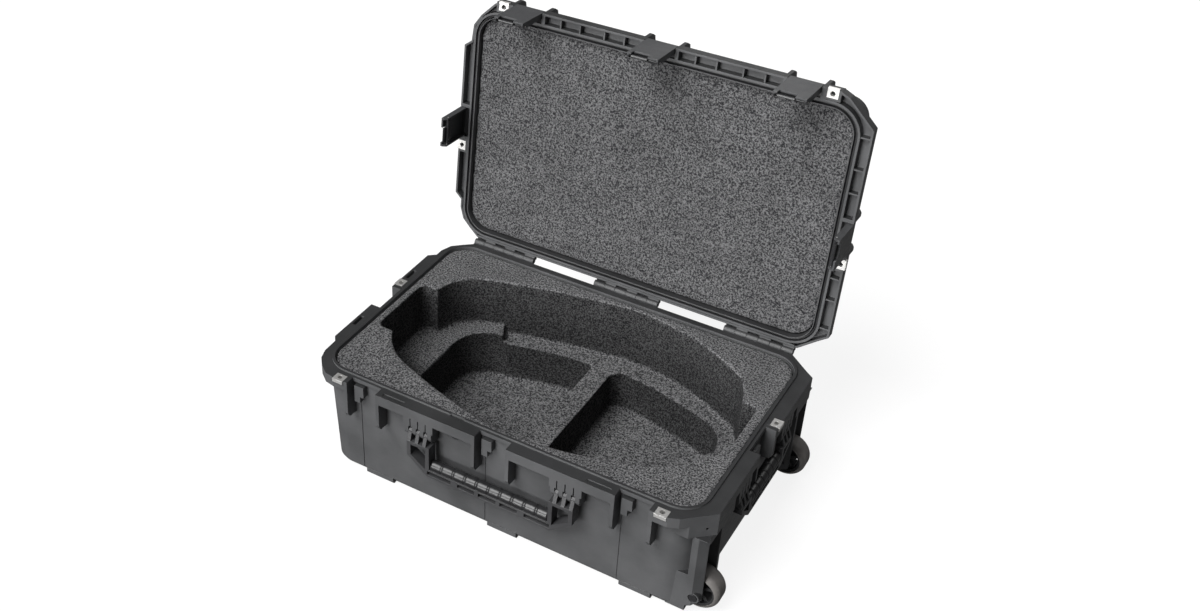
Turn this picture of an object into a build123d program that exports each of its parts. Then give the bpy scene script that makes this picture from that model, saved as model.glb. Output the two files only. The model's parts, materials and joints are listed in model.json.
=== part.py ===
from build123d import *
from math import cos, radians, sin
import os

os.makedirs("parts", exist_ok=True)

# Wheeled moulded carrying case with a shaped foam insert. Millimetres, +Z up.
# X runs along the front, +X towards the wheels; Y runs from the front to the hinges.
# The origin is on the ground, under the middle of the foam well.
# The lid and all it carries are drawn closed, then swung open to the rest pose.

# ---- interior and main heights ----
inner_length = 738.6
inner_depth = 458.6
inner_corner = 45
ground_gap = 5
shell_floor = 10
shelf_under = 209
shelf_skin = 8
shelf_top = 230
ridge_top = 233.5
lid_rim = 231
lid_shelf_top = 250
case_top = 310
wall = 4

# ---- outside of the base body, drafted towards the ground ----
body_left = -375
body_right = 377
body_half = 237
body_corner = 42
draft_left = 0.059
draft_right = 0.024
draft_side = 0.012
edge_round = 10

# ---- shelf round the parting line ----
front_reach = 262
end_reach = 402
left_reach = -401
rear_edge = 249
skirt = 4

# ---- hinges ----
hinge_y = 256.5
hinge_z = 230.7
lid_open_angle = 95.4
knuckle_radius = 6.5
knuckle_pitch = 23
knuckle_gap = 0.6
hinge_starts = (-345, -69, 207)
knuckles_each = 6
hinge_pin_radius = 2.5
running = 0.06
hinge_axis = Axis((0, hinge_y, hinge_z), (1, 0, 0))

# ---- latches, drawn at the middle of the front ----
latch_pitch = 270
latch_half = 30
latch_pivot_y = -254
latch_pivot_z = 243
latch_tip_z = 160
latch_skin = 3.5
fin_inner = 31
fin_outer = 38
end_spread = 9
latch_pin_radius = 2.5
trigger_pivot_y = -253
trigger_pivot_z = 170
trigger_pin_radius = 1.5

# ---- seal ----
seal_in = 1.5
seal_out = 7.5
ring_out = 12
groove_top = 239

# ---- foam ----
foam_play = 0.3
base_foam_top = 230
lid_foam_face = 240.5
ledge_high = 124
ledge_low = 106
well_floor = 22

# ---- wheels ----
axle_x = 384
axle_z = 46
wheel_radius = 39.5
wheel_width = 40
wheel_middle = 196
slot_in = 172
slot_out = 220
cheek_face = 234
cheek_reach = 397
slot_left = 340
slot_top = 89
axle_radius = 5
bolt_head = 7.5
bolt_seat = 3.5

# ---- carry handles ----
handle_pivot_z = 179
handle_pivot_y = -255
handle_pin_radius = 2.5
handle_front = -268
handle_back = -246
lug_bottom = 164
lug_gap = 0.4
arm_top = 162
bar_height = 17
grip_y = -257
grip_rise = 6
grip_radius = 11
core_radius = 7
groove_depth = 1.2
groove_width = 1.6

# ---- pressure valve ----
valve_x = -82
valve_z = 199
valve_radius = 13
valve_thread = 8

# ---- pull handle ----
tube_y = 184
tube_z = 22
tube_radius = 7
sleeve_radius = 9
sleeve_start = -365.2
sleeve_end = 80
tube_start = -371
tube_skin = 1.5
grip_height = 24
button_half = 18
button_rise = 6
button_play = 0.4


def write(piece, name):
    """Label a finished piece and write it."""
    piece.part.label = name
    export_step(piece.part, f"parts/{name}.step")


def write_open(piece, name):
    """Swing a piece drawn on the closed lid to the open rest pose, then write it."""
    with BuildPart() as opened:
        add(piece.part.rotate(hinge_axis, -lid_open_angle))
    write(opened, name)


def body_plan(height, inset=0):
    """Draw the rounded plan of the drafted base body at a height, drawn in by inset."""
    drop = shelf_under - height
    left = body_left + drop * draft_left + inset
    right = body_right - drop * draft_right - inset
    half = body_half - drop * draft_side - inset
    with Locations(((left + right) / 2, 0)):
        RectangleRounded(right - left, 2 * half, body_corner - inset)


def well_plan(grow=0, mode=Mode.ADD):
    """Draw the plan of the foam well, grown by an amount all round."""
    RectangleRounded(inner_length + 2 * grow, inner_depth + 2 * grow, inner_corner + grow, mode=mode)


def box_between(low, high, mode=Mode.ADD):
    """Add a box given by its lowest and highest corners."""
    middle = [(a + b) / 2 for a, b in zip(low, high)]
    size = [b - a for a, b in zip(low, high)]
    with Locations(tuple(middle)):
        Box(*size, mode=mode)


def rod_x(start, end, y, z, radius, mode=Mode.ADD):
    """Add a round rod along X."""
    with BuildSketch(Plane.YZ.offset(start)) as profile:
        with Locations((y, z)):
            Circle(radius)
    extrude(profile.sketch, amount=end - start, mode=mode)


def rod_y(start, end, x, z, radius, mode=Mode.ADD):
    """Add a round rod along Y."""
    with BuildSketch(Plane.XZ.offset(-end)) as profile:
        with Locations((x, z)):
            Circle(radius)
    extrude(profile.sketch, amount=end - start, mode=mode)


def slab_x(start, end, points, mode=Mode.ADD):
    """Add a prism along X from a polygon in Y and Z."""
    with BuildSketch(Plane.YZ.offset(start)) as profile:
        Polygon(*points, align=None)
    extrude(profile.sketch, amount=end - start, mode=mode)


def slab_y(start, end, points, mode=Mode.ADD):
    """Add a prism along Y from a polygon in X and Z."""
    with BuildSketch(Plane.XZ.offset(-end)) as profile:
        Polygon(*points, align=None)
    extrude(profile.sketch, amount=end - start, mode=mode)


def mirrored(low, high, side):
    """Give a span on one side of the middle, lowest value first."""
    return sorted((side * low, side * high))


base_corner = ((-392, -172), (-391, -205), (-384, -226), (-370, -243), (-351, -258))
lid_corner = ((-386, -172), (-383, -205), (-368, -228), (-341, -256))


def shelf_outline(front_left):
    """Draw the outline of the shelf: corners cut off, and pads stepping out on the left."""
    Polygon(
        (-330, -front_reach), (334, -front_reach), (352, -254), (377, -231), (end_reach, -208),
        (end_reach, 204), (386, 216), (357, 240), (346, rear_edge),
        (-330, rear_edge), (-343, 246), (-361, 231), (-379, 214), (-387, 190), (-387, 172),
        (left_reach, 160), (left_reach, -160), *front_left, align=None,
    )


# Five latch stations: three on the front and one in the middle of each end.
latch_sites = {
    "front_left": Location((-latch_pitch, 0, 0)),
    "front_middle": Location((0, 0, 0)),
    "front_right": Location((latch_pitch, 0, 0)),
    "right": Location((end_reach - front_reach, 0, 0), (0, 0, 90)),
    "left": Location((left_reach + front_reach, 0, 0), (0, 0, -90)),
}
front_sites = [latch_sites["front_left"], latch_sites["front_middle"], latch_sites["front_right"]]

# Padlock holes: two on the front, and one in each end beside the latch.
padlock_sites = [
    Location((-321, 0, 0)),
    Location((321, 0, 0)),
    Location((end_reach - front_reach, 51.5, 0), (0, 0, 90)),
    Location((left_reach + front_reach, 51.5, 0), (0, 0, -90)),
]
padlock_y = -254
padlock_radius = 4.5

# Raised bands that run down the front and back and under the floor as runners.
runner_middles = (-253, 13, 279)
runner_width = 60

# ---- pieces of the shells that repeat, each drawn at the middle of the front ----
with BuildPart() as base_recess:
    box_between((-fin_inner, -front_reach - 3, shelf_under - 4), (fin_inner, -242, ridge_top))
with BuildPart() as end_recess:
    box_between((-fin_inner - end_spread, -front_reach - 3, shelf_under - 4),
                (fin_inner + end_spread, -242, ridge_top))


def catch_station(lowest, wide_side=0):
    """Draw a latch's two guard fins, down to a given height, and the stepped catch between them.

    At the ends the lid swings along the wall, so the fin on the wide side stands further out."""
    with BuildPart() as station:
        for side in (-1, 1):
            spread = end_spread if side == wide_side else 0
            low, high = mirrored(fin_inner + spread, fin_outer + spread, side)
            slab_x(low, high, ((-234, shelf_top), (-front_reach, shelf_top), (-front_reach, lowest + 12),
                               (-256, lowest + 2), (-234, lowest)))
        box_between((-24, -249, 182), (-12, -234, 219))
        box_between((-12, -249, 196), (-4, -234, 219))
    return station


front_catch = catch_station(146)
right_catch = catch_station(162, wide_side=-1)
left_catch = catch_station(162, wide_side=1)

with BuildPart() as lid_recess:
    box_between((-fin_inner, -front_reach - 3, lid_rim - 1), (fin_inner, -242, lid_shelf_top + 1))

with BuildPart() as lid_fins:
    for side in (-1, 1):
        low, high = mirrored(fin_inner, fin_outer, side)
        slab_x(low, high, ((-234, lid_rim), (-front_reach, lid_rim), (-front_reach, 270),
                           (-256, 281), (-234, 288)))
with BuildPart() as lid_bore:
    rod_x(-fin_outer - 0.3, fin_outer + 0.3, latch_pivot_y, latch_pivot_z, latch_pin_radius)

with BuildPart() as base_plate:
    box_between((-11, -264, 222.5), (11, -246, shelf_top))
with BuildPart() as lid_plate:
    box_between((-10, -264, lid_rim), (10, -246, lid_rim + 7))


def carry_lugs(first, pitch, width):
    """Draw the eight lugs that carry a handle, four on each side."""
    with BuildPart() as lugs:
        for side in (-1, 1):
            for number in range(4):
                middle = side * (first + number * pitch)
                slab_x(middle - width / 2, middle + width / 2,
                       ((-234, shelf_under + 2), (-front_reach, shelf_under + 2), (-front_reach, 178),
                        (-258, 171), (-250, 168), (-234, lug_bottom)))
                root = pitch / 2 - 1
                slab_x(middle - root, middle + root,
                       ((-234, shelf_under + 2), (-front_reach, shelf_under + 2), (-front_reach, 191),
                        (-234, 188)))
        reach = first + 3 * pitch + width
        rod_x(-reach, reach, handle_pivot_y, handle_pivot_z, handle_pin_radius, Mode.SUBTRACT)
    return lugs


front_first, front_pitch, front_lug = 124, 16, 8
end_first, end_pitch, end_lug = 73.5, 14, 7
right_end = latch_sites["right"]
front_lugs = carry_lugs(front_first, front_pitch, front_lug)
end_lugs = carry_lugs(end_first, end_pitch, end_lug)


def knuckles(first):
    """Give the start of each hinge knuckle, every second one, in all three groups."""
    return [start + number * knuckle_pitch + knuckle_gap / 2
            for start in hinge_starts for number in range(first, knuckles_each, 2)]


knuckle_length = knuckle_pitch - knuckle_gap

# ---- base shell ----
with BuildPart() as base_shell:
    # drafted tub with a rounded bottom edge
    for height, inset in ((ground_gap, edge_round), (ground_gap + 3, 4),
                          (ground_gap + edge_round, 0), (shelf_under, 0)):
        with BuildSketch(Plane.XY.offset(height)):
            body_plan(height, inset)
    loft(ruled=True)
    with BuildSketch(Plane.XY.offset(shelf_under)):
        body_plan(shelf_under)
    extrude(amount=shelf_top - shelf_under)
    # shelf with a skirt, hollow underneath
    with BuildSketch(Plane.XY.offset(shelf_top - shelf_skin)):
        shelf_outline(base_corner)
    extrude(amount=shelf_skin)
    with BuildSketch(Plane.XY.offset(shelf_under)):
        shelf_outline(base_corner)
        offset(amount=-skirt, mode=Mode.SUBTRACT)
    extrude(amount=shelf_top - shelf_skin - shelf_under)
    # corner blocks over the wheels, inside the shelf's outline
    with BuildSketch(Plane.XY.offset(183)):
        shelf_outline(base_corner)
        with Locations((390, -190), (390, 190)):
            Rectangle(110, 104, mode=Mode.INTERSECT)
    extrude(amount=shelf_top - 183)
    # foam well
    for height, shrink in ((shell_floor, 26), (shell_floor + 10, 12), (shelf_under, 0)):
        with BuildSketch(Plane.XY.offset(height)):
            RectangleRounded(inner_length - shrink, inner_depth - shrink / 2, inner_corner)
    loft(ruled=True, mode=Mode.SUBTRACT)
    with BuildSketch(Plane.XY.offset(shelf_under)):
        well_plan()
    extrude(amount=shelf_top - shelf_under + 1, mode=Mode.SUBTRACT)
    # sealing ridge
    with BuildSketch(Plane.XY.offset(shelf_top - 1)):
        well_plan(seal_out - 0.5)
        well_plan(seal_in + 0.5, mode=Mode.SUBTRACT)
    extrude(amount=ridge_top - shelf_top + 1)
    # runners under the floor
    for middle in runner_middles:
        slab_x(middle - runner_width / 2, middle + runner_width / 2,
               ((-231, 0), (231, 0), (235, 4), (235, 14), (226, 14), (226, 8),
                (-226, 8), (-226, 14), (-235, 14), (-235, 4)))
    # wheel housings: cheeks that stand out beyond the right-hand wall
    for side in (-1, 1):
        low, high = mirrored(slot_in - 8, cheek_face, side)
        slab_y(low, high, ((370.5, 21), (cheek_reach, 36), (cheek_reach, 184), (370.5, 184)))
        # the cheek's outer corner is cut off in line with the shelf's
        with BuildSketch() as corner:
            Polygon((381, side * 235), (400, side * 235), (400, side * 216), align=None)
        extrude(corner.sketch, amount=183, mode=Mode.SUBTRACT)
        low, high = mirrored(slot_out, cheek_face - 1, side)
        rod_y(low, high, axle_x, axle_z, 11)
    # lugs for the carry handles
    add(front_lugs.part)
    with Locations(right_end):
        add(end_lugs.part)
    # hinge knuckles on the rear edge
    for start in knuckles(0):
        slab_x(start, start + knuckle_length,
               ((244, shelf_under + 2), (248.5, shelf_under + 2), (hinge_y, hinge_z - knuckle_radius),
                (hinge_y, 229.5), (244, 229.5)))
        rod_x(start, start + knuckle_length, hinge_y, hinge_z, knuckle_radius)
        rod_x(start - 1, start + knuckle_pitch, hinge_y, hinge_z, hinge_pin_radius, Mode.SUBTRACT)
    # wheel slots, walled off from the well
    for side in (-1, 1):
        low, high = mirrored(slot_in - 8, body_half - 5, side)
        box_between((slot_left - wall, low, shell_floor - 2), (body_right - 6, high, slot_top + wall))
        low, high = mirrored(slot_in, slot_out, side)
        box_between((slot_left, low, -1), (end_reach + 5, high, slot_top), mode=Mode.SUBTRACT)
        box_between((body_right + 1, low, slot_top - 1), (end_reach + 5, high, 168), mode=Mode.SUBTRACT)
        low, high = mirrored(155, cheek_face + 4, side)
        rod_y(low, high, axle_x, axle_z, axle_radius, Mode.SUBTRACT)
        low, high = mirrored(cheek_face - bolt_seat, cheek_face + 4, side)
        rod_y(low, high, axle_x, axle_z, bolt_head + 1, Mode.SUBTRACT)
    # latch stations
    with Locations(*front_sites):
        add(base_recess.part, mode=Mode.SUBTRACT)
        add(front_catch.part)
    for station, catch in (("right", right_catch), ("left", left_catch)):
        with Locations(latch_sites[station]):
            add(end_recess.part, mode=Mode.SUBTRACT)
            add(catch.part)
    # seats for the steel padlock plates
    with Locations(*padlock_sites):
        add(base_plate.part, mode=Mode.SUBTRACT)
        with Locations((0, padlock_y, shelf_under + 7)):
            Cylinder(padlock_radius + 2, 30, mode=Mode.SUBTRACT)
    # tie-down slots in the left-hand pads
    for middle in (-96, 85.5):
        box_between((-396, middle - 15, shelf_under - 1), (-389, middle + 15, shelf_top + 1), Mode.SUBTRACT)
    # fine seams down the front and back walls
    for middle in runner_middles:
        seam = middle - 35
        for side in (-1, 1):
            slab_x(seam - 0.7, seam + 0.7, ((side * 240, 3), (side * 233.2, 3), (side * 233.4, 15),
                                            (side * 235.6, 183), (side * 240, 183)), Mode.SUBTRACT)
    # drilled holes in the cut-off corners
    for side in (-1, 1):
        with BuildSketch(Plane(origin=(393, side * 225, 200), z_dir=(-0.7, -side * 0.7, 0))) as drilled:
            Circle(2.5)
        extrude(drilled.sketch, amount=8, mode=Mode.SUBTRACT)
    # vent notch in the front of the sealing ridge
    box_between((-95, -239, shelf_top - 1), (-67, -234, ridge_top + 1), Mode.SUBTRACT)
    # marks moulded into the front shelf
    for middle in (-205, 205):
        box_between((middle - 22, -257, shelf_top - 1.5), (middle + 22, -250, shelf_top + 1), Mode.SUBTRACT)
    # pressure valve port, and holes for the pull-handle sleeves
    with BuildSketch(Plane.XZ.offset(225)):
        with Locations((valve_x, valve_z)):
            Circle(valve_thread)
    extrude(amount=20, mode=Mode.SUBTRACT)
    for side in (-1, 1):
        rod_x(body_left - 5, -350, side * tube_y, tube_z, sleeve_radius, Mode.SUBTRACT)
write(base_shell, "base_shell")

# ---- lid shell, drawn closed ----
with BuildPart() as lid_shell:
    for height, inset in ((lid_rim, 0), (298, 3), (306, 7), (case_top, 14)):
        with BuildSketch(Plane.XY.offset(height)):
            body_plan(shelf_under, inset)
    loft(ruled=True)
    # raised panels and stacking feet on the roof
    for middle in (-190, 0, 190):
        box_between((middle - 80, -150, case_top - 12), (middle + 80, 150, case_top + 2.5))
    # shelf, hollow towards the parting line
    with BuildSketch(Plane.XY.offset(lid_shelf_top - 4)):
        shelf_outline(lid_corner)
    extrude(amount=4)
    with BuildSketch(Plane.XY.offset(lid_rim)):
        shelf_outline(lid_corner)
        offset(amount=-skirt, mode=Mode.SUBTRACT)
    extrude(amount=lid_shelf_top - lid_rim - 2)
    with BuildSketch(Plane.XY.offset(lid_rim)):
        well_plan(ring_out)
    extrude(amount=lid_shelf_top - lid_rim - 2)
    # trim the rear edge to clear the hinge line
    box_between((-450, 246, lid_rim - 1), (450, 270, lid_shelf_top + 1), mode=Mode.SUBTRACT)
    box_between((-342, 242, lid_rim), (344, 246, lid_shelf_top))
    # ribs across the hollow shelf
    for middle in (-200, -160, -110, -70, 70, 110, 160, 200):
        box_between((middle - 1.5, -front_reach + 1, lid_rim + 2), (middle + 1.5, -236, lid_shelf_top - 2))
    for middle in (-190, -130, -85, 85, 130, 190):
        box_between((body_left - 9, middle - 1.5, lid_rim + 2), (-370, middle + 1.5, lid_shelf_top - 2))
        box_between((370, middle - 1.5, lid_rim + 2), (end_reach - 1, middle + 1.5, lid_shelf_top - 2))
    # lips that close the view over each group of knuckles
    for start in hinge_starts:
        box_between((start, 243, hinge_z + knuckle_radius + 0.7),
                    (start + knuckles_each * knuckle_pitch, hinge_y, hinge_z + knuckle_radius + 3.7))
    # hinge knuckles
    for start in knuckles(1):
        slab_x(start, start + knuckle_length,
               ((243, 231.5), (hinge_y, 231.5), (hinge_y, hinge_z + knuckle_radius), (250, 241),
                (244, lid_shelf_top - 1), (243, lid_shelf_top - 1)))
        rod_x(start, start + knuckle_length, hinge_y, hinge_z, knuckle_radius)
        rod_x(start - 1, start + knuckle_pitch, hinge_y, hinge_z, hinge_pin_radius + running, Mode.SUBTRACT)
    # solid blocks for the padlock plates
    with Locations(*padlock_sites):
        box_between((-15, -front_reach, lid_rim), (15, -242, lid_shelf_top))
    # latch stations
    with Locations(*latch_sites.values()):
        add(lid_recess.part, mode=Mode.SUBTRACT)
        add(lid_fins.part)
        add(lid_bore.part, mode=Mode.SUBTRACT)
    # hollow for the foam, and the groove for the gasket
    for height, shrink in ((lid_rim, 0), (case_top - wall - 8, 4), (case_top - wall, 18)):
        with BuildSketch(Plane.XY.offset(height)):
            RectangleRounded(inner_length - shrink, inner_depth - shrink, inner_corner)
    loft(ruled=True, mode=Mode.SUBTRACT)
    with BuildSketch(Plane.XY.offset(lid_rim - 1)):
        well_plan(seal_out)
        well_plan(seal_in, mode=Mode.SUBTRACT)
    extrude(amount=groove_top - lid_rim + 1, mode=Mode.SUBTRACT)
    # padlock plates and their shackle holes
    with Locations(*padlock_sites):
        add(lid_plate.part, mode=Mode.SUBTRACT)
        with Locations((0, padlock_y, lid_shelf_top - 4)):
            Cylinder(padlock_radius + 2, 40, mode=Mode.SUBTRACT)
write_open(lid_shell, "lid_shell")


# ---- foam ----
def pocket_outline():
    """Draw the mouth of the foam pocket: an oval with a squared lobe at each end."""
    with BuildLine() as edge:
        Polyline((325, -80), (341, -66), (350, -50), (349, 72), (320, 72))
        ThreePointArc((320, 72), (309, 104), (290, 136))
        ThreePointArc((290, 136), (180, 192), (30, 216))
        ThreePointArc((30, 216), (-130, 187), (-268, 145))
        ThreePointArc((-268, 145), (-301, 117), (-318, 70))
        Polyline((-318, 70), (-345, 70), (-354, 63), (-354, -74), (-344, -84), (-320, -84))
        ThreePointArc((-320, -84), (-299, -116), (-264, -145))
        ThreePointArc((-264, -145), (-130, -194), (0, -222))
        ThreePointArc((0, -222), (128, -206), (225, -176))
        ThreePointArc((225, -176), (290, -137), (325, -80))
    make_face(edge.edges())


def left_well():
    """Draw the left-hand well, straight beside the divider and rounded at its far end."""
    with BuildLine() as edge:
        Line((-18, -165), (-18, 165))
        ThreePointArc((-18, 165), (-110, 154), (-192, 132))
        ThreePointArc((-192, 132), (-250, 112), (-273, 62))
        Line((-273, 62), (-273, -62))
        ThreePointArc((-273, -62), (-250, -112), (-192, -132))
        ThreePointArc((-192, -132), (-110, -154), (-18, -165))
    make_face(edge.edges())


def right_well():
    """Draw the right-hand well, which runs further towards the wheels."""
    with BuildLine() as edge:
        Polyline((42, -172), (26, -158), (26, 158), (42, 172))
        ThreePointArc((42, 172), (145, 156), (235, 129))
        ThreePointArc((235, 129), (274, 101), (286, 60))
        Line((286, 60), (286, -60))
        ThreePointArc((286, -60), (274, -101), (235, -129))
        ThreePointArc((235, -129), (145, -156), (42, -172))
    make_face(edge.edges())


with BuildPart() as base_foam:
    for height, shrink in ((shell_floor + foam_play, 26), (shell_floor + 10, 12), (shelf_under, 0)):
        with BuildSketch(Plane.XY.offset(height)):
            RectangleRounded(inner_length - shrink - 2 * foam_play,
                             inner_depth - shrink / 2 - 2 * foam_play, inner_corner)
    loft(ruled=True)
    with BuildSketch(Plane.XY.offset(shelf_under)):
        well_plan(-foam_play)
    extrude(amount=base_foam_top - shelf_under)
    # room for the wheel housings and the pull-handle sleeves
    for side in (-1, 1):
        low, high = mirrored(slot_in - 8 - foam_play, inner_depth, side)
        box_between((slot_left - wall - foam_play, low, 0), (inner_length, high, slot_top + wall + foam_play),
                    mode=Mode.SUBTRACT)
        low, high = mirrored(tube_y - 10, tube_y + 10, side)
        box_between((-inner_length, low, 0), (sleeve_end + 2, high, tube_z + 10), mode=Mode.SUBTRACT)
    # stepped pocket: one ledge on the left, a lower one on the right
    with BuildSketch(Plane.XY.offset(ledge_high)):
        pocket_outline()
    extrude(amount=base_foam_top, mode=Mode.SUBTRACT)
    with BuildSketch(Plane.XY.offset(ledge_low)):
        pocket_outline()
        Polygon((-226, 180), (-190, 110), (-190, -110), (-226, -180), (-226, -240), (400, -240),
                (400, 240), (-226, 240), align=None, mode=Mode.INTERSECT)
    extrude(amount=base_foam_top, mode=Mode.SUBTRACT)
    with BuildSketch(Plane.XY.offset(well_floor)):
        left_well()
        right_well()
    extrude(amount=base_foam_top, mode=Mode.SUBTRACT)
write(base_foam, "base_foam")

with BuildPart() as lid_foam:
    for height, shrink in ((lid_foam_face, 1), (case_top - wall - 8, 5), (case_top - wall - foam_play, 19)):
        with BuildSketch(Plane.XY.offset(height)):
            RectangleRounded(inner_length - shrink - 2 * foam_play, inner_depth - shrink - 2 * foam_play,
                             inner_corner)
    loft(ruled=True)
write_open(lid_foam, "lid_foam")

with BuildPart() as gasket:
    with BuildSketch(Plane.XY.offset(ridge_top + 1)):
        well_plan(seal_out)
        well_plan(seal_in, mode=Mode.SUBTRACT)
    extrude(amount=groove_top - ridge_top - 1)
write_open(gasket, "gasket")

# ---- hinge pins, one through each group of knuckles ----
with BuildPart() as hinge_pins:
    for start in hinge_starts:
        rod_x(start, start + knuckles_each * knuckle_pitch, hinge_y, hinge_z, hinge_pin_radius)
write(hinge_pins, "hinge_pins")

# ---- steel padlock plates ----
with BuildPart() as base_padlock_plates:
    with Locations(*padlock_sites):
        add(base_plate.part)
        with Locations((0, padlock_y, shelf_top)):
            Cylinder(padlock_radius, 40, mode=Mode.SUBTRACT)
write(base_padlock_plates, "base_padlock_plates")

with BuildPart() as lid_padlock_plates:
    with Locations(*padlock_sites):
        add(lid_plate.part)
        with Locations((0, padlock_y, lid_rim)):
            Cylinder(padlock_radius, 40, mode=Mode.SUBTRACT)
write_open(lid_padlock_plates, "lid_padlock_plates")

# ---- latches, drawn at the middle of the front ----
with BuildPart() as latch_cover:
    box_between((-latch_half, -front_reach, latch_tip_z),
                (latch_half, -front_reach + latch_skin, latch_pivot_z))
    rod_x(-latch_half, latch_half, latch_pivot_y, latch_pivot_z, front_reach + latch_pivot_y)
    for side in (-1, 1):
        low, high = mirrored(latch_half - latch_skin, latch_half, side)
        slab_x(low, high, ((-front_reach + 1, latch_tip_z), (-257, latch_tip_z), (-250, 165),
                           (-250, latch_pivot_z), (-front_reach + 1, latch_pivot_z)))
    # hook that pulls up under the catch
    slab_x(-23, 23, ((-259, 174), (-252, 178), (-252, 181), (-259, 181)))
    # opening at the tip for the trigger
    box_between((-22, -front_reach - 1, latch_tip_z - 1), (10, -front_reach + latch_skin, 172), Mode.SUBTRACT)
    rod_x(-latch_half - 1, latch_half + 1, latch_pivot_y, latch_pivot_z, latch_pin_radius + running,
          Mode.SUBTRACT)
    rod_x(-latch_half - 1, latch_half + 1, trigger_pivot_y, trigger_pivot_z, trigger_pin_radius,
          Mode.SUBTRACT)

with BuildPart() as latch_pin:
    rod_x(-fin_outer, fin_outer, latch_pivot_y, latch_pivot_z, latch_pin_radius)

with BuildPart() as latch_trigger:
    rod_x(-25.2, 25.2, trigger_pivot_y, trigger_pivot_z, 3.2)
    slab_x(-21.4, 9.4, ((-254, 169), (-256.5, 169), (-257.4, 165), (-258, 160), (-255.6, 158.5),
                        (-253.8, 160.5), (-254, 165)))
    rod_x(-26, 26, trigger_pivot_y, trigger_pivot_z, trigger_pin_radius + running, Mode.SUBTRACT)

with BuildPart() as trigger_pin:
    rod_x(-latch_half, latch_half, trigger_pivot_y, trigger_pivot_z, trigger_pin_radius)

for station, site in latch_sites.items():
    for pattern, kind in ((latch_cover, "latch_cover"), (latch_trigger, "latch_trigger"),
                          (trigger_pin, "trigger_pin")):
        with BuildPart() as placed:
            with Locations(site):
                add(pattern.part)
        write_open(placed, f"{kind}_{station}")

with BuildPart() as latch_pins:
    with Locations(*latch_sites.values()):
        add(latch_pin.part)
write_open(latch_pins, "latch_pins")


# ---- carry handles, drawn at the middle of the front ----
def handle_frame(inner, outer, bottom, knuckle_first, pitch, lug, slots):
    """Draw a hinged handle frame with windowed arms, a slotted bar and a core for the grip."""
    bar_top = bottom + bar_height
    cut = outer - inner - 5
    with BuildPart() as frame:
        slab_y(handle_front, handle_back,
               ((-outer, arm_top), (-outer, bottom + cut * 0.8), (-outer + cut, bottom),
                (outer - cut, bottom), (outer, bottom + cut * 0.8), (outer, arm_top)))
        box_between((-inner, handle_front - 1, bar_top), (inner, handle_back + 1, arm_top + 1),
                    mode=Mode.SUBTRACT)
        for side in (-1, 1):
            slab_y(handle_front - 1, handle_back + 1,
                   ((side * (inner + 8), arm_top - 7), (side * (outer - 8), arm_top - 7),
                    (side * (outer - 8), bottom + cut * 0.8 + 3), (side * (inner + 8), bottom + 14)),
                   mode=Mode.SUBTRACT)
        for middle, length in slots:
            box_between((middle - length / 2, handle_front - 1, bottom + 4.5),
                        (middle + length / 2, handle_back + 1, bottom + 13), mode=Mode.SUBTRACT)
        rod_x(-inner - 1, inner + 1, grip_y, bar_top + grip_rise, core_radius)
        for side in (-1, 1):
            for number in range(3):
                gap_start = knuckle_first + number * pitch + lug / 2 + lug_gap
                gap_end = knuckle_first + (number + 1) * pitch - lug / 2 - lug_gap
                low, high = mirrored(gap_start, gap_end, side)
                slab_x(low, high, ((-262, handle_pivot_z), (-248, handle_pivot_z), (handle_back, arm_top - 1),
                                   (handle_front, arm_top - 1)))
                rod_x(low, high, handle_pivot_y, handle_pivot_z, core_radius)
        rod_x(-outer, outer, handle_pivot_y, handle_pivot_z, handle_pin_radius + running, Mode.SUBTRACT)
    return frame


def handle_grip(inner, bottom, grooves):
    """Draw the soft sleeve moulded over the core of a handle."""
    bar_top = bottom + bar_height
    with BuildPart() as grip:
        rod_x(-inner, inner, grip_y, bar_top + grip_rise, grip_radius)
        for number in range(grooves):
            middle = (number - (grooves - 1) / 2) * 2 * inner / (grooves + 1)
            with BuildSketch(Plane.YZ.offset(middle - groove_width / 2)) as ring:
                with Locations((grip_y, bar_top + grip_rise)):
                    Circle(grip_radius + 1)
                    Circle(grip_radius - groove_depth, mode=Mode.SUBTRACT)
            extrude(ring.sketch, amount=groove_width, mode=Mode.SUBTRACT)
        rod_x(-inner - 1, inner + 1, grip_y, bar_top + grip_rise, core_radius, Mode.SUBTRACT)
        box_between((-inner - 1, -280, bottom), (inner + 1, -230, bar_top), mode=Mode.SUBTRACT)
    return grip


def handle_pins(first, pitch, lug):
    """Draw the two pins of a handle."""
    with BuildPart() as pins:
        for side in (-1, 1):
            low, high = mirrored(first - lug / 2, first + 3 * pitch + lug / 2, side)
            rod_x(low, high, handle_pivot_y, handle_pivot_z, handle_pin_radius)
    return pins


front_inner, front_outer, front_bottom = 121, 168, 95
front_slots = ((-100, 50), (-43.5, 35), (0, 36), (43.5, 35), (100, 50))
front_handle_frame = handle_frame(front_inner, front_outer, front_bottom, front_first, front_pitch,
                                  front_lug, front_slots)
write(front_handle_frame, "front_handle_frame")
front_handle_grip = handle_grip(front_inner, front_bottom, 9)
write(front_handle_grip, "front_handle_grip")
front_handle_pins = handle_pins(front_first, front_pitch, front_lug)
write(front_handle_pins, "front_handle_pins")

end_inner, end_outer, end_bottom = 70, 112, 121
end_slots = ((-42, 38), (0, 34), (42, 38))
with BuildPart() as end_handle_frame:
    with Locations(right_end):
        add(handle_frame(end_inner, end_outer, end_bottom, end_first, end_pitch, end_lug, end_slots).part)
write(end_handle_frame, "end_handle_frame")
with BuildPart() as end_handle_grip:
    with Locations(right_end):
        add(handle_grip(end_inner, end_bottom, 7).part)
write(end_handle_grip, "end_handle_grip")
with BuildPart() as end_handle_pins:
    with Locations(right_end):
        add(handle_pins(end_first, end_pitch, end_lug).part)
write(end_handle_pins, "end_handle_pins")

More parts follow.
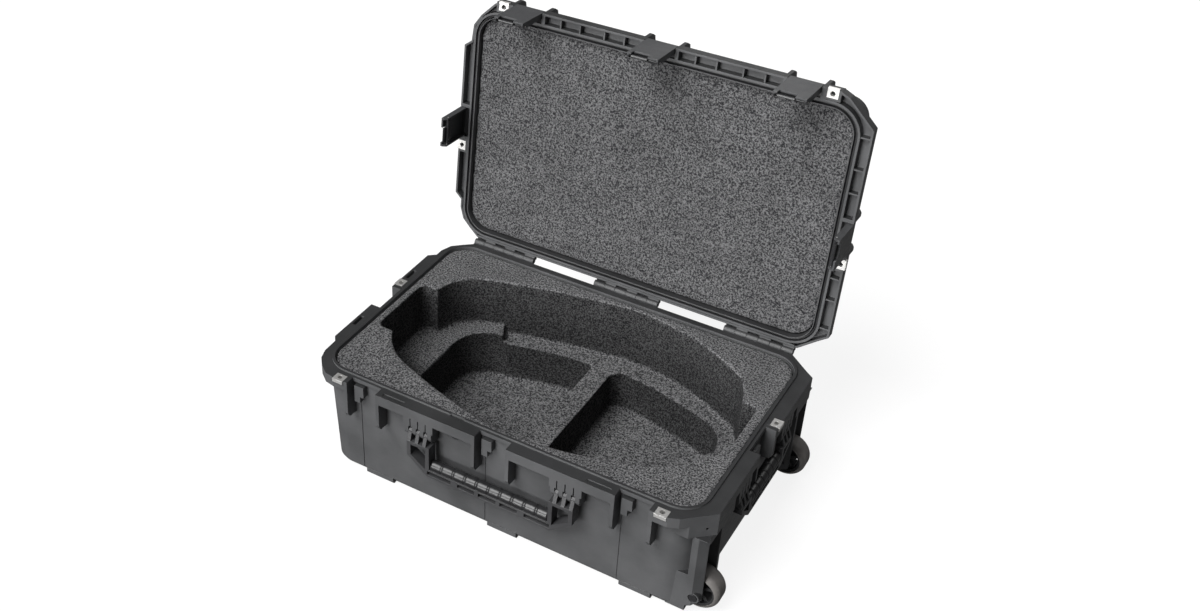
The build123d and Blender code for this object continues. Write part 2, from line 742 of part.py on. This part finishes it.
# ---- wheels ----
hub_rim = 31
hub_half = 17
boss_radius = 10
spokes = 5
spoke_middle = 18
spoke_length = 20
spoke_width = 6
spoke_depth = 22
tyre_round = 11
washer_radius = 9
washer_play = 0.2
for place, side in (("front", -1), ("rear", 1)):
    middle = side * wheel_middle
    with BuildPart() as hub:
        rod_y(middle - hub_half, middle + hub_half, axle_x, axle_z, hub_rim)
        rod_y(middle - hub_half - 1, middle + hub_half + 1, axle_x, axle_z, hub_rim - wall, Mode.SUBTRACT)
        for number in range(spokes):
            angle = 90 + number * 360 / spokes
            spoke_x = axle_x + spoke_middle * cos(radians(angle))
            spoke_z = axle_z + spoke_middle * sin(radians(angle))
            with BuildSketch(Plane.XZ.offset(-middle - spoke_depth / 2)) as spoke:
                with Locations(Location((spoke_x, spoke_z), angle)):
                    Rectangle(spoke_length, spoke_width)
            extrude(spoke.sketch, amount=spoke_depth)
        rod_y(middle - hub_half - 2, middle + hub_half + 2, axle_x, axle_z, boss_radius)
        rod_y(middle - hub_half - 3, middle + hub_half + 3, axle_x, axle_z, axle_radius + running,
              Mode.SUBTRACT)
    write(hub, f"wheel_hub_{place}")
    with BuildPart() as tyre:
        rod_y(middle - wheel_width / 2, middle + wheel_width / 2, axle_x, axle_z, wheel_radius)
        fillet(tyre.edges().filter_by(GeomType.CIRCLE), radius=tyre_round)
        rod_y(middle - 30, middle + 30, axle_x, axle_z, hub_rim, Mode.SUBTRACT)
    write(tyre, f"wheel_tyre_{place}")

with BuildPart() as wheel_axles:
    for side in (-1, 1):
        low, high = mirrored(158, cheek_face - 1, side)
        rod_y(low, high, axle_x, axle_z, axle_radius)
        low, high = mirrored(cheek_face - bolt_seat, cheek_face - 0.5, side)
        rod_y(low, high, axle_x, axle_z, bolt_head)
write(wheel_axles, "wheel_axles")

with BuildPart() as wheel_washers:
    for side in (-1, 1):
        for start, end in ((slot_in + washer_play, wheel_middle - hub_half - 2.4),
                           (wheel_middle + hub_half + 2.4, slot_out - washer_play)):
            low, high = mirrored(start, end, side)
            rod_y(low, high, axle_x, axle_z, washer_radius)
            rod_y(low - 1, high + 1, axle_x, axle_z, axle_radius, Mode.SUBTRACT)
write(wheel_washers, "wheel_washers")

# ---- pressure valve ----
with BuildPart() as valve_body:
    with BuildSketch(Plane.XZ.offset(body_half)):
        with Locations((valve_x, valve_z)):
            Circle(valve_radius)
    extrude(amount=6)
    with BuildSketch(Plane.XZ.offset(body_half - 7)):
        with Locations((valve_x, valve_z)):
            Circle(valve_thread)
    extrude(amount=9)
    rod_y(-250, -body_half - 2, valve_x, valve_z, valve_radius - 4, Mode.SUBTRACT)
    rod_y(-250, -200, valve_x, valve_z, 2, Mode.SUBTRACT)
write(valve_body, "valve_body")
with BuildPart() as valve_cap:
    rod_y(-body_half - 5.5, -body_half - 2, valve_x, valve_z, valve_radius - 4)
write(valve_cap, "valve_cap")

# ---- pull handle at the left end ----
with BuildPart() as pull_sleeves:
    for side in (-1, 1):
        rod_x(sleeve_start, sleeve_end, side * tube_y, tube_z, sleeve_radius)
        rod_x(sleeve_start - 1, sleeve_end + 1, side * tube_y, tube_z, tube_radius + running, Mode.SUBTRACT)
write(pull_sleeves, "pull_sleeves")

with BuildPart() as pull_tubes:
    for side in (-1, 1):
        rod_x(tube_start, sleeve_end - 10, side * tube_y, tube_z, tube_radius)
        rod_x(tube_start - 1, sleeve_end, side * tube_y, tube_z, tube_radius - tube_skin, Mode.SUBTRACT)
write(pull_tubes, "pull_tubes")

with BuildPart() as pull_grip:
    with BuildSketch(Plane.XY.offset(tube_z - grip_height / 2)):
        Polygon((-366, -193), (-366, -172), (-379, -160), (-379, 160), (-366, 172), (-366, 193),
                (-372, 193), (-393, 150), (-393, -150), (-372, -193), align=None)
    extrude(amount=grip_height)
    for side in (-1, 1):
        rod_x(tube_start, -360, side * tube_y, tube_z, tube_radius, Mode.SUBTRACT)
    box_between((-400, -button_half, tube_z - button_rise), (-384, button_half, tube_z + button_rise),
                mode=Mode.SUBTRACT)
write(pull_grip, "pull_grip")

with BuildPart() as pull_button:
    box_between((-396, button_play - button_half, tube_z - button_rise + button_play),
                (-387.5, button_half - button_play, tube_z + button_rise - button_play))
write(pull_button, "pull_button")
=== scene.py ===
"""Looks for the wheeled drone case: foams, seal, grips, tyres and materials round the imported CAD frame."""
import json
import math

import bmesh
import bpy
import numpy as np
from mathutils import Matrix, Vector


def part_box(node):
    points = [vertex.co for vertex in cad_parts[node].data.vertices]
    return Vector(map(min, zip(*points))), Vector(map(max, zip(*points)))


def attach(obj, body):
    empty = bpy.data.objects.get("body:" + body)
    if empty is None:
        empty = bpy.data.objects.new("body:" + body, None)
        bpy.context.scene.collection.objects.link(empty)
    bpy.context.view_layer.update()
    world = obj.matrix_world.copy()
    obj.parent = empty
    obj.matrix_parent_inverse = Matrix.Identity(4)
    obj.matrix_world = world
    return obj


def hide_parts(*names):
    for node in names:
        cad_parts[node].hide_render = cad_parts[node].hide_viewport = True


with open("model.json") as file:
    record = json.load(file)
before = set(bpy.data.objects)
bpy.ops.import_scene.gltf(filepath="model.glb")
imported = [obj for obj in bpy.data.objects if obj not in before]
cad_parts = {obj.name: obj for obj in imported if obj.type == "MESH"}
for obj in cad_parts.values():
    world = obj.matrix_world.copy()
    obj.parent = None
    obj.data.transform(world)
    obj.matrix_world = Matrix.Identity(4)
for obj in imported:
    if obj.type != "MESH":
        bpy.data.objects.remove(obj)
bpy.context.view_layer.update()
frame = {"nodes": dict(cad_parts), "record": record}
nodes = frame["nodes"]
scene = bpy.context.scene

# ---- the frame's own hinge and seal sizes, in metres ----
HINGE = Vector((0, 0.2565, 0.2307))
LID_OPEN = math.radians(-95.4)
INNER_LENGTH = 0.7386
INNER_DEPTH = 0.4586
INNER_CORNER = 0.045
SEAL_MIDDLE = 0.0045
SEAL_Z = 0.2368
SEAL_HALF_WIDTH = 0.0028
SEAL_HALF_HEIGHT = 0.0020
SEAL_LOBE = 0.0002
SEAL_POINTS = 16

# ---- foam and grip looks, in metres ----
WALL_WANDER = 0.0008
TOP_WANDER = 0.0004
LID_WANDER = 0.0007
STEP_DEPTH = 0.0022
STEP_WIDTH = 0.004
LEDGE_HEIGHT = 0.106
GROOVE_DEPTH = 0.0011
END_EASE = 0.005

# closed lid to open lid
opened = (Matrix.Translation(HINGE) @ Matrix.Rotation(LID_OPEN, 4, "X")
          @ Matrix.Translation(-HINGE))


# ---------------------------------------------------------------- materials
class Shader:
    """A small helper that builds one node material."""

    def __init__(self, name, colour, roughness, metallic=0.0, specular=0.5):
        self.material = bpy.data.materials.new(name)
        self.material.use_nodes = True
        self.tree = self.material.node_tree
        self.surface = self.tree.nodes["Principled BSDF"]
        self.surface.inputs["Base Color"].default_value = (*colour, 1)
        self.surface.inputs["Roughness"].default_value = roughness
        self.surface.inputs["Metallic"].default_value = metallic
        self.surface.inputs["Specular IOR Level"].default_value = specular
        self.place = self.tree.nodes.new("ShaderNodeTexCoord").outputs["Object"]
        self.normal = None

    def node(self, kind, **inputs):
        made = self.tree.nodes.new(kind)
        for key, value in inputs.items():
            socket = made.inputs[key.replace("_", " ")]
            if hasattr(value, "is_output"):
                self.tree.links.new(value, socket)
            else:
                socket.default_value = value
        return made

    def noise(self, scale, detail=3.0, rough=0.55, stretch=None):
        """Noise in the object's own space; scale is in features per metre."""
        place = self.place
        if stretch:
            mapping = self.tree.nodes.new("ShaderNodeMapping")
            mapping.inputs["Scale"].default_value = stretch
            self.tree.links.new(place, mapping.inputs["Vector"])
            place = mapping.outputs["Vector"]
        return self.node("ShaderNodeTexNoise", Vector=place, Scale=scale, Detail=detail,
                         Roughness=rough).outputs["Fac"]

    def ramp(self, factor, *stops):
        made = self.tree.nodes.new("ShaderNodeValToRGB")
        self.tree.links.new(factor, made.inputs["Fac"])
        band = made.color_ramp
        band.elements[0].position, band.elements[1].position = stops[0][0], stops[-1][0]
        for position, _ in stops[1:-1]:
            band.elements.new(position)
        for element, (_, value) in zip(band.elements, stops):
            element.color = (*value, 1) if hasattr(value, "__len__") else (value, value, value, 1)
        return made.outputs["Color"]

    def mix(self, factor, first, second, blend="MIX"):
        made = self.tree.nodes.new("ShaderNodeMix")
        made.data_type = "RGBA"
        made.blend_type = blend
        for socket, value in ((made.inputs[0], factor), (made.inputs[6], first), (made.inputs[7], second)):
            if hasattr(value, "is_output"):
                self.tree.links.new(value, socket)
            elif socket.type == "RGBA":
                socket.default_value = (*value, 1)
            else:
                socket.default_value = value
        return made.outputs[2]

    def level(self):
        """The upward share of the true surface direction."""
        geometry = self.tree.nodes.new("ShaderNodeNewGeometry")
        return self.node("ShaderNodeSeparateXYZ", Vector=geometry.outputs["True Normal"]).outputs["Z"]

    def soften(self, radius):
        """Round the look of hard edges."""
        made = self.tree.nodes.new("ShaderNodeBevel")
        made.samples = 4
        made.inputs["Radius"].default_value = radius
        self.normal = made.outputs["Normal"]
        return self

    def bump(self, height, distance, strength=1.0):
        made = self.node("ShaderNodeBump", Height=height, Distance=distance, Strength=strength)
        if self.normal is not None:
            self.tree.links.new(self.normal, made.inputs["Normal"])
        self.normal = made.outputs["Normal"]
        return self

    def to(self, socket, value):
        self.tree.links.new(value, self.surface.inputs[socket])
        return self

    def done(self):
        if self.normal is not None:
            self.tree.links.new(self.normal, self.surface.inputs["Normal"])
        return self.material


def moulded(name, dark, light, roughness, grain=1100, depth=0.00016, edge=0.0012, top_shade=1.0):
    """Injection-moulded plastic: leather-like grain, cloudy tone and a slightly uneven gloss.

    Level, upward-facing faces carry painted shade: their colour is multiplied down to the given top factor,
    and 1 leaves them unshaded."""
    made = Shader(name, dark, roughness, specular=0.35).soften(edge)
    cloud = made.noise(9, 4)
    walls = made.mix(made.ramp(cloud, (0.35, 0.0), (0.68, 1.0)), dark, light)
    # painted shade: level, upward-facing faces are darkened in the base colour
    if top_shade < 1:
        walls = made.mix(1.0, walls, made.ramp(made.level(), (0.3, 1.0), (0.8, top_shade)), "MULTIPLY")
    made.to("Base Color", walls)
    scuff = made.noise(60, 5, 0.7, stretch=(1, 1, 3))
    made.to("Roughness", made.ramp(scuff, (0.3, roughness - 0.07), (0.7, roughness + 0.09)))
    made.bump(made.noise(grain, 2), depth)
    return made.done()


def foam(name, dark, light, walls=None):
    """Closed-cell foam: small bright flecks over charcoal, pitted; upright faces get painted shade, darkened
    by the walls factor.
    """
    made = Shader(name, dark, 0.95, specular=0.15)
    flecks = made.ramp(made.noise(300, 3, 0.8), (0.44, 0.0), (0.58, 1.0))
    cloud = made.ramp(made.noise(14, 4), (0.3, 0.86), (0.7, 1.1))
    tone = made.mix(1.0, made.mix(flecks, dark, light), cloud, "MULTIPLY")
    # painted shade: upright faces are darkened in the base colour
    if walls:
        tone = made.mix(1.0, tone, made.ramp(made.level(), (0.35, walls), (0.8, 1.0)), "MULTIPLY")
    made.to("Base Color", tone)
    made.bump(made.noise(480, 4, 0.75), 0.0016, 0.9)
    return made.done()


def rubber(name, colour, roughness, grain=700, depth=0.0002):
    made = Shader(name, colour, roughness, specular=0.5)
    tone = made.noise(35, 4)
    made.to("Base Color", made.mix(made.ramp(tone, (0.3, 0.0), (0.7, 1.0)), tuple(c * 0.8 for c in colour),
                                   tuple(c * 1.25 for c in colour)))
    made.bump(made.noise(grain, 3), depth)
    return made.done()


def metal(name, colour, roughness, stretch=(1, 30, 30)):
    made = Shader(name, colour, roughness, metallic=1.0).soften(0.0005)
    lines = made.noise(260, 3, 0.6, stretch=stretch)
    made.to("Roughness", made.ramp(lines, (0.3, roughness - 0.06), (0.7, roughness + 0.12)))
    made.bump(lines, 0.00004)
    return made.done()


# the shell's level faces get painted shade, darkened to 0.36 of the wall colour
SHELL = moulded("shell_plastic", (0.060, 0.061, 0.063), (0.092, 0.093, 0.096), 0.42, top_shade=0.36)
LATCH = moulded("latch_plastic", (0.045, 0.046, 0.048), (0.066, 0.067, 0.070), 0.36,
                grain=1500, depth=0.00008)
HANDLE = moulded("handle_plastic", (0.036, 0.036, 0.038), (0.056, 0.056, 0.058), 0.38,
                 grain=1400, depth=0.0001)
TRIGGER = moulded("trigger_plastic", (0.018, 0.018, 0.019), (0.03, 0.03, 0.032), 0.3,
                  grain=1500, depth=0.00005)
HUB = moulded("hub_plastic", (0.020, 0.020, 0.021), (0.036, 0.036, 0.037), 0.40)
# the insert's upright faces get painted shade, darkened to 0.4
FOAM_BASE = foam("foam_cut", (0.020, 0.020, 0.022), (0.205, 0.205, 0.208), walls=0.4)
FOAM_LID = foam("foam_sheet", (0.018, 0.018, 0.020), (0.165, 0.165, 0.168))
GRIP = rubber("grip_rubber", (0.012, 0.012, 0.013), 0.36, grain=500, depth=0.00006)
SEAL = rubber("seal_rubber", (0.010, 0.010, 0.011), 0.5)
TYRE = rubber("tyre_rubber", (0.14, 0.132, 0.126), 0.6, grain=900, depth=0.0003)
STEEL = metal("stainless", (0.86, 0.85, 0.83), 0.46)
BOLT_STEEL = metal("bolt_steel", (0.10, 0.10, 0.105), 0.4)
TUBE = metal("satin_tube", (0.6, 0.6, 0.61), 0.34, stretch=(1, 20, 20))
WASHER = moulded("washer_plastic", (0.10, 0.10, 0.10), (0.15, 0.15, 0.15), 0.35)

BY_SLOT = {"shell": SHELL, "foam": FOAM_BASE, "seal": SEAL, "steel": STEEL, "latch": LATCH,
           "trigger": TRIGGER, "handle": HANDLE, "grip": GRIP, "washer": WASHER, "sleeve": HANDLE,
           "tube": TUBE, "hub": HUB, "tyre": TYRE}
for part in frame["record"]["subparts"]:
    target = nodes[part["node"]]
    target.data.materials.clear()
    target.data.materials.append(BY_SLOT[part["material_slot"]])
for name in ("hinge_pins", "front_handle_pins", "end_handle_pins", "latch_pins", "wheel_axles"):
    nodes[name].data.materials[0] = BOLT_STEEL


# ---------------------------------------------------------------- mesh helpers
def piece(name, mesh, material, body):
    """Make an object from a mesh that is already in the row frame, and ride it on a body."""
    made = bpy.data.objects.new(name, mesh)
    scene.collection.objects.link(made)
    mesh.materials.clear()
    mesh.materials.append(material)
    mesh.shade_smooth()
    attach(made, body)
    return made


def remeshed(node, voxel):
    """A copy of a CAD node's mesh with even quads, as a new mesh in the row frame."""
    source = bpy.data.objects.new("source", nodes[node].data.copy())
    scene.collection.objects.link(source)
    modifier = source.modifiers.new("even", "REMESH")
    modifier.mode = "VOXEL"
    modifier.voxel_size = voxel
    relax = source.modifiers.new("relax", "SMOOTH")
    relax.factor = 0.5
    relax.iterations = 2
    depsgraph = bpy.context.evaluated_depsgraph_get()
    mesh = bpy.data.meshes.new_from_object(source.evaluated_get(depsgraph))
    old = source.data
    bpy.data.objects.remove(source)
    bpy.data.meshes.remove(old)
    return mesh


def points_of(mesh):
    flat = np.empty(len(mesh.vertices) * 3, np.float32)
    mesh.vertices.foreach_get("co", flat)
    return flat.reshape(-1, 3)


def normals_of(mesh):
    flat = np.empty(len(mesh.vertices) * 3, np.float32)
    mesh.vertices.foreach_get("normal", flat)
    return flat.reshape(-1, 3)


def put_points(mesh, points):
    mesh.vertices.foreach_set("co", points.astype(np.float32).ravel())
    mesh.update()


def waves(points, scale, seed):
    """Smooth unevenness from a few crossing sines, between about -1 and 1."""
    rng = np.random.default_rng(seed)
    total = np.zeros(len(points))
    for number in range(6):
        direction = rng.normal(size=3)
        direction *= scale * rng.uniform(0.6, 1.6) / np.linalg.norm(direction)
        total += np.sin(points @ direction + rng.uniform(0, 6.28))
    return total / 3.0


# ---------------------------------------------------------------- foams
def line_distance(points, line):
    """Distance in plan from each point to a polyline."""
    best = np.full(len(points), 1e9)
    for start, end in zip(line, line[1:]):
        start, end = np.array(start), np.array(end)
        along = end - start
        share = np.clip(((points[:, :2] - start) @ along) / (along @ along), 0, 1)
        best = np.minimum(best, np.linalg.norm(points[:, :2] - start - share[:, None] * along, axis=1))
    return best


def base_foam():
    """The shaped insert: soft cut edges, slightly wavy walls and a fine step on the right-hand ledge."""
    voxel = 0.0032
    mesh = remeshed("base_foam", voxel)
    points, normals = points_of(mesh), normals_of(mesh)
    upright = 1 - np.abs(normals[:, 2])
    inside = (np.abs(points[:, 0]) < 0.358) & (np.abs(points[:, 1]) < 0.224)
    # hand-cut walls wander a little, but only inwards from the CAD face
    wander = (waves(points, 38, 3) - 1.0) * WALL_WANDER
    points += normals * (wander * upright * inside)[:, None]
    # the cut top sheet is not quite flat
    top = (normals[:, 2] > 0.7) & inside
    points[:, 2] += np.where(top, (waves(points, 22, 5) - 1.1) * TOP_WANDER, 0)
    # a fine step follows the right-hand well
    step = ((0.216, 0.165), (0.243, 0.154), (0.269, 0.135), (0.287, 0.111), (0.296, 0.081), (0.299, 0.03))
    near = np.clip(1 - line_distance(points, step) / STEP_WIDTH, 0, 1)
    ledge = np.abs(points[:, 2] - LEDGE_HEIGHT) < 0.003
    points[:, 2] -= np.where(ledge, near * STEP_DEPTH, 0)
    put_points(mesh, points)
    made = piece("foam_insert", mesh, FOAM_BASE, "base")
    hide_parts("base_foam")


def lid_foam():
    """The flat pad in the lid, with eased edges and a gentle unevenness."""
    voxel = 0.004
    mesh = remeshed("lid_foam", voxel)
    points, normals = points_of(mesh), normals_of(mesh)
    points += normals * ((waves(points, 16, 8) - 1.1) * LID_WANDER)[:, None]
    put_points(mesh, points)
    made = piece("lid_pad", mesh, FOAM_LID, "lid")
    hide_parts("lid_foam")


def rounded_loop(length, depth, corner, steps=14):
    """Points round a rounded rectangle, counter-clockwise in plan."""
    loop = []
    for quarter, (sx, sy) in enumerate(((1, 1), (-1, 1), (-1, -1), (1, -1))):
        centre = Vector((sx * (length / 2 - corner), sy * (depth / 2 - corner), 0))
        for step in range(steps + 1):
            turn = math.radians(90 * quarter + 90 * step / steps)
            loop.append(centre + corner * Vector((math.cos(turn), math.sin(turn), 0)))
    return loop


def sweep_loop(loop, section):
    """Sweep a closed section, given as (outward, up) pairs, round a closed flat loop."""
    mesh = bmesh.new()
    rings = []
    count = len(loop)
    for index, point in enumerate(loop):
        along = (loop[(index + 1) % count] - loop[index - 1]).normalized()
        outward = Vector((along.y, -along.x, 0))
        rings.append([mesh.verts.new(point + outward * a + Vector((0, 0, b))) for a, b in section])
    size = len(section)
    for index in range(count):
        ring, following = rings[index], rings[(index + 1) % count]
        for corner in range(size):
            mesh.faces.new((ring[corner], ring[(corner + 1) % size],
                            following[(corner + 1) % size], following[corner]))
    return mesh


def gasket():
    """A rounded seal, slightly three-lobed in section, pressed in the lid's groove."""
    loop = [p + Vector((0, 0, SEAL_Z)) for p in
            rounded_loop(INNER_LENGTH + 2 * SEAL_MIDDLE, INNER_DEPTH + 2 * SEAL_MIDDLE,
                         INNER_CORNER + SEAL_MIDDLE)]
    section = []
    for step in range(SEAL_POINTS):
        turn = 2 * math.pi * step / SEAL_POINTS
        lobe = SEAL_LOBE * math.cos(3 * turn)
        section.append((SEAL_HALF_WIDTH * math.cos(turn), SEAL_HALF_HEIGHT * math.sin(turn) + lobe))
    work = sweep_loop(loop, section)
    work.transform(opened)
    mesh = bpy.data.meshes.new("seal")
    work.to_mesh(mesh)
    work.free()
    made = piece("seal", mesh, SEAL, "lid")
    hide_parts("gasket")


# ---------------------------------------------------------------- grips
def lathe(profile, axis, centre, segments=40):
    """Turn (along, radius) pairs about a row axis through centre, as a closed solid."""
    mesh = bmesh.new()
    rings = []
    for along, radius in profile:
        ring = []
        for step in range(segments):
            turn = 2 * math.pi * step / segments
            across, up = radius * math.cos(turn), radius * math.sin(turn)
            offset = Vector((along, across, up)) if axis == "x" else Vector((across, along, up))
            ring.append(mesh.verts.new(Vector(centre) + offset))
        rings.append(ring)
    for ring, following in zip(rings, rings[1:]):
        for step in range(segments):
            mesh.faces.new((ring[step], ring[(step + 1) % segments],
                            following[(step + 1) % segments], following[step]))
    mesh.faces.new(rings[0])
    mesh.faces.new(list(reversed(rings[-1])))
    bmesh.ops.recalc_face_normals(mesh, faces=mesh.faces)
    return mesh


def grip_profile(half, radius, ribs):
    """A fat soft grip with shallow rounded grooves and eased ends."""
    profile = []
    count = 26 * ribs
    for step in range(count + 1):
        along = -half + 2 * half * step / count
        rib = math.cos(2 * math.pi * ribs * (along + half) / (2 * half))
        dip = max(0.0, rib - 0.72) / 0.28
        ends = min(1.0, (half - abs(along)) / END_EASE)
        ease = math.sqrt(max(0.0, 1 - (1 - ends) ** 2))
        profile.append((along, radius * (0.80 + 0.20 * ease) - GROOVE_DEPTH * dip))
    return profile


def grip(name, node, body, axis, ribs):
    low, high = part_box(node)
    middle = (low + high) / 2
    half = ((high.x - low.x) if axis == "x" else (high.y - low.y)) / 2
    radius = ((high.y - low.y) if axis == "x" else (high.x - low.x)) / 2
    centre = Vector((middle.x, middle.y, high.z - radius))
    work = lathe(grip_profile(half - 0.0004, radius - 0.0002, ribs), axis, centre)
    mesh = bpy.data.meshes.new(name)
    work.to_mesh(mesh)
    work.free()
    made = piece(name, mesh, GRIP, body)
    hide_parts(node)


base_foam()
lid_foam()
gasket()
grip("front_grip", "front_handle_grip", "front_handle", "x", 10)
grip("end_grip", "end_handle_grip", "end_handle", "y", 7)


# ---------------------------------------------------------------- studio
def area(name, place, aim, size, power, colour=(1, 1, 1)):
    data = bpy.data.lights.new(name, "AREA")
    data.shape = "RECTANGLE"
    data.size, data.size_y = size
    data.energy = power
    data.color = colour
    made = bpy.data.objects.new(name, data)
    scene.collection.objects.link(made)
    made.location = place
    made.rotation_euler = (Vector(place) - Vector(aim)).to_track_quat("Z", "Y").to_euler()


def sun(name, toward, strength, spread):
    """A distant soft light that shines from the given direction."""
    data = bpy.data.lights.new(name, "SUN")
    data.energy = strength
    data.angle = math.radians(spread)
    made = bpy.data.objects.new(name, data)
    scene.collection.objects.link(made)
    made.rotation_euler = Vector(toward).to_track_quat("Z", "Y").to_euler()


def floor():
    """White paper that glows a little, so that shadows on it stay faint; it lights nothing else."""
    mesh = bpy.data.meshes.new("floor")
    reach = 30.0
    mesh.from_pydata([(-reach, -reach, 0), (reach, -reach, 0), (reach, reach, 0), (-reach, reach, 0)], [],
                     [(0, 1, 2, 3)])
    made = bpy.data.objects.new("floor", mesh)
    scene.collection.objects.link(made)
    paper = Shader("paper", (0.16, 0.16, 0.16), 1.0, specular=0.0)
    paper.surface.inputs["Emission Color"].default_value = (1, 1, 1, 1)
    paper.surface.inputs["Emission Strength"].default_value = 0.86
    mesh.materials.append(paper.done())
    made.visible_diffuse = False
    made.visible_glossy = False


floor()
sun("key", (-0.26, -0.55, 0.79), 3.9, 36)
sun("low_front", (-0.22, -0.97, 0.10), 2.9, 26)
area("back_edge", (0.4, 1.6, 1.7), (0.1, 0, 0.3), (2.0, 0.6), 10)

world = bpy.data.worlds.new("studio")
world.use_nodes = True
world.node_tree.nodes["Background"].inputs["Color"].default_value = (1, 1, 1, 1)
world.node_tree.nodes["Background"].inputs["Strength"].default_value = 0.14
scene.world = world
scene.view_settings.view_transform = "Standard"

# ---------------------------------------------------------------- camera
camera_data = bpy.data.cameras.new("camera")
camera_data.lens = 43.08
camera_data.sensor_width = 36
camera_data.shift_x = 0.1306
camera_data.shift_y = -0.0245
camera_data.clip_start = 0.05
camera_data.clip_end = 80
camera = bpy.data.objects.new("camera", camera_data)
scene.collection.objects.link(camera)
back = Vector((0.4403, -0.6900, 0.5746)).normalized()
across = Vector((0, 0, 1)).cross(back).normalized()
rise = back.cross(across)
camera.matrix_world = Matrix((
    (across.x, rise.x, back.x, 0.9260),
    (across.y, rise.y, back.y, -1.8606),
    (across.z, rise.z, back.z, 1.8750),
    (0, 0, 0, 1)))
scene.camera = camera

bpy.context.view_layer.update()
